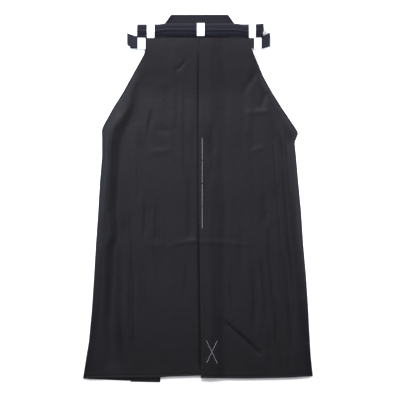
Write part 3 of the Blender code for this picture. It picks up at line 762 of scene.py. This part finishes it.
# The board's cloth is the same black twill in lighter, bluer tones: painted sheen for the light that falls on
# its slope.
board_twill_painted_sheen = make_cloth_material(
    "board_twill_painted_sheen", dark=(0.0044, 0.0044, 0.0074), light=(0.0066, 0.0066, 0.0108), roughness=0.48, gloss=0.07
)


def board_faces():
    """Both faces of the board: a sloping flat plate that thins to an eighth round its rim, by the
    root of 1 minus the 24th power of the place across, times the root of 1 minus the 16th power
    of the place along. The grooves are bell-shaped dips in its upper face."""
    along, across = np.meshgrid(crowded(44), crowded(150), indexing="ij")
    share = (along + 1.0) / 2.0
    y = BOARD["bottom"] + (BOARD["top"] - BOARD["bottom"]) * share
    left = BOARD["bottom_left"] + (BOARD["top_left"] - BOARD["bottom_left"]) * share
    right = BOARD["bottom_right"] + (BOARD["top_right"] - BOARD["bottom_right"]) * share
    x = left + (right - left) * (across + 1.0) / 2.0
    slope = math.atan2(BOARD_UNDERSIDE["bottom"] - BOARD_UNDERSIDE["top"], BOARD["top"] - BOARD["bottom"])
    z = BOARD_UNDERSIDE["bottom"] + (BOARD_UNDERSIDE["top"] - BOARD_UNDERSIDE["bottom"]) * share
    middle = np.stack([x, y, z + BOARD_THICKNESS / 2.0 / math.cos(slope)], axis=-1)
    rim = np.sqrt(1.0 - across**24) * np.sqrt(1.0 - along**16)
    half = BOARD_THICKNESS / 2.0 * (0.12 + 0.88 * rim)
    inside = np.minimum(x - left, right - x)
    groove = 0.0
    for place, reach, depth in BOARD_GROOVES:
        groove = groove + depth * np.exp(-(((inside - place) / reach) ** 2))
    upper, lower = sorted(both_faces(middle, half), key=lambda face: -face[..., 2].mean())
    upper = upper - (upper - lower) / BOARD_THICKNESS * groove[..., None]
    return upper, lower


board = add_cloth("board_cloth_and_card", *board_faces(), board_twill_painted_sheen)
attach(board, "root")
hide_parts("back_board")


# The two back ties: 27.5 mm wide, thick folded twill, about 0.75 m each. They leave the board's
# sides and are folded to and fro over its lower part, fanned out, with the last run puffed up.
BACK_TIE = 1.8
BACK_TIE_WIDTH = 27.5
# Runs from the board up: the edge nearest the board's top, its height, the tilt in degrees, how
# high the run arches, and how far it droops towards its other edge, over what reach
BACK_RUNS = table(
    "level y z tilt arch droop reach",
    (0, 456.2, 17.6, 18.3, 0.6, 3, 3.2), (1, 459.4, 19, 19.8, 1.2, 1.6, 4),
    (2, 465.5, 21.8, 14.5, 1.2, 0.6, 5), (3, 460.3, 29.3, 25, 0.6, 11.1, 18),
    (4, 466.4, 26.6, 40, 2.2, 7, 8.5),
)
# The whole bundle bows: it stands proud between the paper bands and is drawn in beside them
BUNDLE_BOW = table(
    "x shift",
    (-162, -2.4), (-137, -1.5), (-116, -4), (-91, 1.3), (-20, 1.2), (0, 0.2), (16, 0.2), (36, 1.2),
    (92, 1), (108, 0.4), (134, -5.2), (150, -1), (176, 1.2),
)
TIE_COLUMNS = 27
# Rise of a run for each level in the line that rounds the ends
LEVEL_RISE = 2.2


def back_tie_section(x, level):
    """Points across the back ties' middle surface at x and level.

    Level picks the run's row in the table. Across its width the tie runs from its first edge up
    along the tilt. A low arch, 1 minus the square, is added along the normal, and a droop that
    grows with the square of the way over its reach is taken off the height.
    """
    run = {name: np.interp(level, BACK_RUNS["level"], BACK_RUNS[name]) for name in BACK_RUNS.dtype.names}
    tilt = np.radians(run["tilt"])
    shifts = [np.interp(x + s, BUNDLE_BOW["x"], BUNDLE_BOW["shift"]) for s in (-8.0, -4.0, 0.0, 4.0, 8.0)]
    bow = np.mean(shifts, axis=0) * np.clip((level - 2.0) / 2.0, 0.0, 1.0)
    across = crowded(TIE_COLUMNS)[None, :]
    way = (across + 1.0) / 2.0 * BACK_TIE_WIDTH
    arch = run["arch"] * (1.0 - across**2)
    droop = run["droop"] * np.clip(1.0 - (BACK_TIE_WIDTH - way) / run["reach"], 0.0, 1.0) ** 2
    y = run["y"] + bow - way * np.cos(tilt) + arch * np.sin(tilt)
    z = run["z"] + way * np.sin(tilt) + arch * np.cos(tilt) - droop
    return y, z


def back_tie_middle(corners):
    """Middle surface of a back tie: its section carried along runs that are joined by folds."""
    line = np.array([[(x, level, level * LEVEL_RISE) for level, x in corners]])
    line = rounded_line(line, cut=2.6, spans=48, turns=9)[0]
    y, z = back_tie_section(line[:, :1], line[:, 1:2])
    return np.stack([line[:, :1] + 0.0 * y, y, z], axis=-1), crowded(TIE_COLUMNS)[None, :] + 0.0 * y


for side, corners in (
    ("left", [(0, -84.0), (0, -162.0), (1, -162.0), (1, 163.0), (2, 163.0), (2, -162.0)]),
    ("right", [(0, 84.0), (0, 173.0), (3, 173.0), (3, -162.0), (4, -162.0), (4, 176.0)]),
):
    middle, across = back_tie_middle(corners)
    back_tie = add_cloth(f"{side}_back_tie", *both_faces(middle, tie_half(across, BACK_TIE)), tie_twill_painted_sheen)
    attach(back_tie, "root")
    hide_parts(f"back_tie_{side}")


# The five paper bands: strips of white paper 20 mm wide, wrapped once round the folded ties and
# pasted where the ends lap. They hold the ties as the maker folded them.
PAPER = 0.4
PAPER_CLEARANCE = 0.35
# The lap: its number of points round the band, and how far it is lifted over the start
LAP_POINTS = 18
LAP_LIFT = 0.55
# Middle of each band along the waist, and its width
UPPER_BANDS = dict(upper_left=(-126.2, 20.0), centre=(7.6, 20.0), upper_right=(145.6, 17.8))
LOWER_BANDS = dict(lower_left=(-150.7, 20.0), lower_right=(160.2, 18.6))
# Underside and top of the front ties' bundle, and its room at either edge
BUNDLE_HEIGHTS = (1.1, 19.35)
BUNDLE_ROOM = 0.5


def make_paper_material():
    """White paper: fine fibres in two near whites, a faint mottled relief and no sheen."""
    material, tree, shader, place = new_material("band_paper")
    drawn = add_node(tree, "Mapping", {"Vector": place, "Scale": (900.0, 2600.0, 1.0)})
    fibres = add_node(tree, "TexNoise", {"Vector": drawn.outputs[0], "Scale": 1.0, "Detail": 3.0})
    mix_colours(tree, shader, fibres.outputs["Fac"], (0.82, 0.82, 0.81), (0.93, 0.93, 0.92))
    relief = add_node(tree, "Bump", {"Height": fibres.outputs["Fac"], "Distance": 0.0001, "Strength": 0.6})
    tree.links.new(relief.outputs[0], shader.inputs["Normal"])
    shader.inputs["Roughness"].default_value = 0.72
    return material


def turn(a, b, c):
    """Twice the area of the triangle a b c, above 0 where it turns left."""
    return (b[0] - a[0]) * (c[1] - a[1]) - (b[1] - a[1]) * (c[0] - a[0])


def hull(points):
    """The convex outline round points in a plane, anticlockwise."""
    outline = []
    for ordered in (sorted(points), sorted(points, reverse=True)):
        part = []
        for point in ordered:
            while len(part) > 1 and turn(part[-2], part[-1], point) <= 1e-6:
                part.pop()
            part.append(point)
        outline += part[:-1]
    return np.array(outline)


def band_middle(middle_x, width, corners):
    """Middle surface of a paper band: the bundle's convex outline moved out by the clearance.

    Round each corner the outward direction turns evenly, so the paper bends round it. The strip
    starts low on the side towards the board's top, goes once round, and laps its own start.
    """
    outline = hull(corners)
    outline = np.roll(outline, -int(np.argmax(outline[:, 0] - outline[:, 1])), axis=0)
    ahead = np.roll(outline, -1, axis=0) - outline
    angle = np.unwrap(np.arctan2(-ahead[:, 0], ahead[:, 1]))
    last = np.roll(angle, 1)
    last[0] -= 2.0 * math.pi
    t = np.linspace(0.0, 1.0, 7)[None, :]
    round_angle = last[:, None] + (angle - last)[:, None] * t
    round_base = np.repeat(outline[:, None], t.size, axis=1)
    s = np.linspace(0.0, 1.0, 16)[None, 1:-1]
    run_angle = np.repeat(angle[:, None], s.size, axis=1)
    run_base = outline[:, None] + ahead[:, None] * s[..., None]
    angles = np.concatenate([round_angle, run_angle], axis=1).ravel()
    bases = np.concatenate([round_base, run_base], axis=1).reshape(-1, 2)
    angles = np.concatenate([angles, angles[:LAP_POINTS]])
    bases = np.concatenate([bases, bases[:LAP_POINTS]])
    lifted = smooth((np.arange(len(angles)) - len(angles) + LAP_POINTS + 4.0) / 6.0) * LAP_LIFT
    out = (PAPER_CLEARANCE + lifted)[:, None]
    loop = bases + np.stack([np.cos(angles), np.sin(angles)], axis=1) * out
    across = np.linspace(-1.0, 1.0, 9)[None, :]
    x = middle_x + across * width / 2.0
    return np.stack([x + 0.0 * loop[:, :1], loop[:, :1] + 0.0 * x, loop[:, 1:] + 0.0 * x], axis=-1)


band_paper = make_paper_material()
bundles = {}
for name, (middle_x, width) in UPPER_BANDS.items():
    corners = []
    for level in range(3 if name == "centre" else 0, 5):
        for x in (middle_x - width / 2.0, middle_x + width / 2.0):
            y, z = (line[0] for line in back_tie_section(np.array([[x]]), np.array([[level]])))
            step = np.hypot(np.gradient(y), np.gradient(z))
            for half in (-BACK_TIE / 2.0, BACK_TIE / 2.0):
                outer_y, outer_z = y - half * np.gradient(z) / step, z + half * np.gradient(y) / step
                corners += zip(outer_y.tolist(), outer_z.tolist())
    bundles[name] = (middle_x, width, corners)
for name, (middle_x, width) in LOWER_BANDS.items():
    half = TIE_WIDTH / 2.0 + BUNDLE_ROOM
    corners = [(y, z) for y in (TIE_MIDDLE - half, TIE_MIDDLE + half) for z in BUNDLE_HEIGHTS]
    bundles[name] = (middle_x, width, corners)
for name, (middle_x, width, corners) in bundles.items():
    middle = band_middle(middle_x, width, corners)
    band = add_cloth(f"{name}_band", *both_faces(middle, PAPER / 2.0), band_paper)
    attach(band, "root")
    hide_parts(f"paper_band_{name}")


# Basting: one long white thread beside the centre fold, and two crossed ones near the hem, that
# hold the lapped backs flat until the hakama is first worn. Each float dips in at both ends.
THREAD = 0.42
# Both ends of each float, and how far its middle rises over another one
BASTING = table(
    "x0 y0 x1 y1 over",
    (11.5, 161.6, 11.5, 101.5, 0), (11.5, 100, 11.4, 40.5, 0), (11.4, 39, 11.4, -20.5, 0),
    (11.4, -22, 11.5, -80.5, 0), (22.5, -380, 52.4, -442.1, 0), (52.4, -380, 23, -440.8, 0.45),
)


def make_thread_material():
    """White cotton thread: a pale grey with fine spun stripes and a rough look."""
    material, tree, shader, place = new_material("basting_cotton")
    drawn = add_node(tree, "Mapping", {"Vector": place, "Scale": (2600.0, 1400.0, 1.0)})
    spun = add_node(tree, "TexNoise", {"Vector": drawn.outputs[0], "Scale": 1.0, "Detail": 1.0})
    mix_colours(tree, shader, spun.outputs["Fac"], (0.42, 0.42, 0.45), (0.62, 0.62, 0.64))
    shader.inputs["Roughness"].default_value = 0.8
    return material


def thread_faces(row):
    """Upper and lower half of a thread: an eight-sided section carried along a straight float.

    Its middle lies nearly half a thread over the cloth, and sinks by 1.4 threads within 1.5 mm of
    each end. Where it crosses another float it rises in a bell shape.
    """
    share = np.concatenate([
        np.linspace(0.0, 0.03, 5)[:-1], np.linspace(0.03, 0.97, 22), np.linspace(0.97, 1.0, 5)[1:]
    ])
    x = row["x0"] + (row["x1"] - row["x0"]) * share
    y = row["y0"] + (row["y1"] - row["y0"]) * share
    hem = np.interp(x, RIGHT_HEM["x"], RIGHT_HEM["y"])
    row_y = BACK_TOP - (BACK_TOP - y) * (BACK_TOP - LOWEST_ROW) / (BACK_TOP - hem)
    lift = lapped_lift(x, row_y, read(CENTRE_FOLD, "x", row_y))
    cloth_top = back_height(x, row_y) + lift + CLOTH / 2.0
    length = math.hypot(row["x1"] - row["x0"], row["y1"] - row["y0"])
    from_end = np.minimum(share, 1.0 - share) * length
    z = cloth_top + THREAD * 0.45 + row["over"] * np.exp(-(((share - 0.5) * length / 3.0) ** 2))
    z = z - THREAD * 1.4 * (1.0 - smooth(from_end / 1.5))
    run = np.array((row["x1"] - row["x0"], row["y1"] - row["y0"])) / length
    angles = np.radians(np.arange(8) * 45.0 + 22.5)
    halves = []
    for angle in (angles[3::-1], angles[4:]):
        aside = np.cos(angle)[None, :] * THREAD / 2.0
        height = z[:, None] + np.sin(angle)[None, :] * THREAD / 2.0
        halves.append(np.stack([x[:, None] + aside * run[1], y[:, None] - aside * run[0], height], axis=-1))
    return halves


basting_cotton = make_thread_material()
for number, row in enumerate(BASTING, start=1):
    thread = add_cloth(f"basting_thread_{number}", *thread_faces(row), basting_cotton)
    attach(thread, "root")
